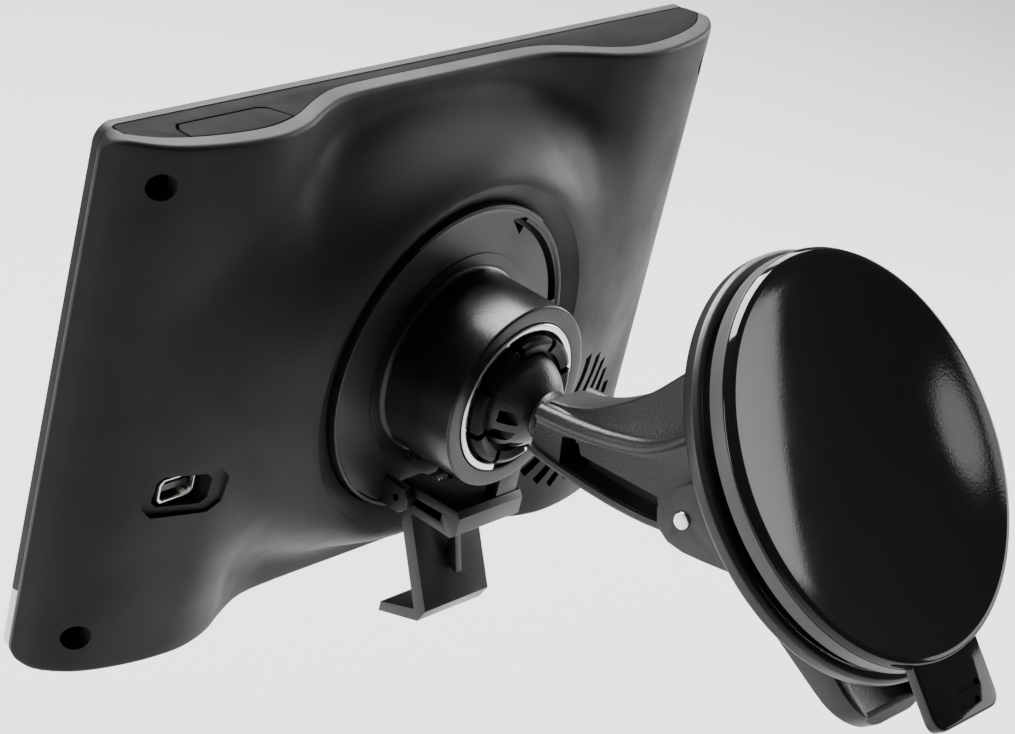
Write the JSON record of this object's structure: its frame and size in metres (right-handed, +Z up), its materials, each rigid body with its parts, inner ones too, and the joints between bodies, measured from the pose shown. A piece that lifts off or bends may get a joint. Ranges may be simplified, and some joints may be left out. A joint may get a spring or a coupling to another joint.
{
  "type": "portable gps navigator",
  "caption": "Five-inch portable GPS navigator on a twist-lock ball head, with a ribbed arm and a lever-operated suction cup for a windscreen.",
  "frame": {"origin": "middle of the suction cup's sealing face", "axes": "+Z up; the screen faces -Y; the suction cup faces +Y and up, 42.5 degrees above +Y; +X is on the left as seen from behind the navigator"},
  "size_m": [0.141, 0.1262, 0.0911],
  "materials": {
    "cover_plastic": "fine-textured soft matte charcoal",
    "frame_plastic": "satin charcoal",
    "panel_plastic": "satin near-black",
    "silver_trim": "satin silver paint",
    "screen_glass": "clear over a black border",
    "lcd": "dark display",
    "sheet_metal": "plain stamped",
    "circuit_board": "solder-masked",
    "battery_wrap": "shrink film",
    "speaker_metal": "black stamped",
    "foam": "closed-cell foam",
    "ceramic": "unglazed ceramic",
    "socket_shell": "bright plated",
    "socket_insert": "black",
    "screw_steel": "blackened",
    "inner_plastic": "plain moulded black",
    "disc_plastic": "fine matte black",
    "housing_plastic": "semi-gloss black",
    "ring_metal": "bright spring steel",
    "spring_steel": "spring steel",
    "lever_plastic": "satin black",
    "cup_rubber": "gloss black soft vinyl",
    "base_plastic": "fine satin charcoal",
    "arm_plastic": "grained black",
    "pin_steel": "bright turned"
  },
  "bodies": {
    "suction_base": {"arm": "arm_plastic", "base_plate": "base_plastic", "base_screws": "screw_steel", "suction_cup": "cup_rubber", "rod_spring": "spring_steel"},
    "pull_rod": {"pull_rod": "inner_plastic", "lever_pin": "pin_steel"},
    "lock_lever": {"lock_lever": "arm_plastic"},
    "ball_liner": {"ball_liner": "inner_plastic"},
    "ball_socket": {"ball_socket": "inner_plastic"},
    "mount_head": {"mount_disc": "disc_plastic", "ball_housing": "housing_plastic", "retaining_ring": "ring_metal", "disc_spring": "spring_steel", "disc_screws": "screw_steel", "release_pin": "pin_steel", "release_spring": "spring_steel"},
    "release_lever": {"release_lever": "lever_plastic"},
    "power_button": {"power_button": "panel_plastic"},
    "navigator": {"back_cover": "cover_plastic", "front_frame": "frame_plastic", "lower_trim": "silver_trim", "top_panel": "panel_plastic", "screen_glass": "screen_glass", "lcd_panel": "lcd", "display_frame": "sheet_metal", "main_board": "circuit_board", "battery": "battery_wrap", "speaker": "speaker_metal", "speaker_gasket": "foam", "gps_antenna": "ceramic", "power_switch": "socket_insert", "usb_socket": "socket_shell", "usb_contacts": "socket_insert", "case_screws": "screw_steel", "bayonet_ring": "inner_plastic"}
  },
  "joints": [
    {"name": "rod_slide", "type": "slide", "parent": "suction_base", "child": "pull_rod", "axis": [0, 0.7373, 0.6756], "range_m": [0, 0.0025]},
    {"name": "lever_turn", "type": "hinge", "parent": "pull_rod", "child": "lock_lever", "pos_m": [0, -0.02286, -0.02094], "axis": [-1, 0, 0], "range_deg": [0, 77]},
    {"name": "ball_tilt", "type": "hinge", "parent": "suction_base", "child": "ball_liner", "pos_m": [0, -0.0657, -0.023], "axis": [1, 0, 0], "range_deg": [-20, 20]},
    {"name": "ball_pan", "type": "hinge", "parent": "ball_liner", "child": "ball_socket", "pos_m": [0, -0.0657, -0.023], "axis": [0, 0, 1], "range_deg": [-25, 25]},
    {"name": "ball_roll", "type": "hinge", "parent": "ball_socket", "child": "mount_head", "pos_m": [0, -0.0657, -0.023], "axis": [0, 1, 0], "range_deg": [-45, 45]},
    {"name": "release_press", "type": "hinge", "parent": "mount_head", "child": "release_lever", "pos_m": [0, -0.0759, -0.045], "axis": [-1, 0, 0], "range_deg": [0, 8], "stiffness_Nm_per_rad": 0.05, "springref_deg": -2.86},
    {"name": "bayonet_turn", "type": "hinge", "parent": "mount_head", "child": "navigator", "pos_m": [0, -0.0837, -0.023], "axis": [0, 1, 0], "range_deg": [0, 45]},
    {"name": "power_press", "type": "slide", "parent": "navigator", "child": "power_button", "axis": [0, 0, -1], "range_m": [0, 0.0005], "stiffness_N_per_m": 400, "springref_m": -0.001}
  ],
  "couplings": [
    {"joint": "lever_turn", "follows": "rod_slide", "rad_per_m": 523.6}
  ]
}
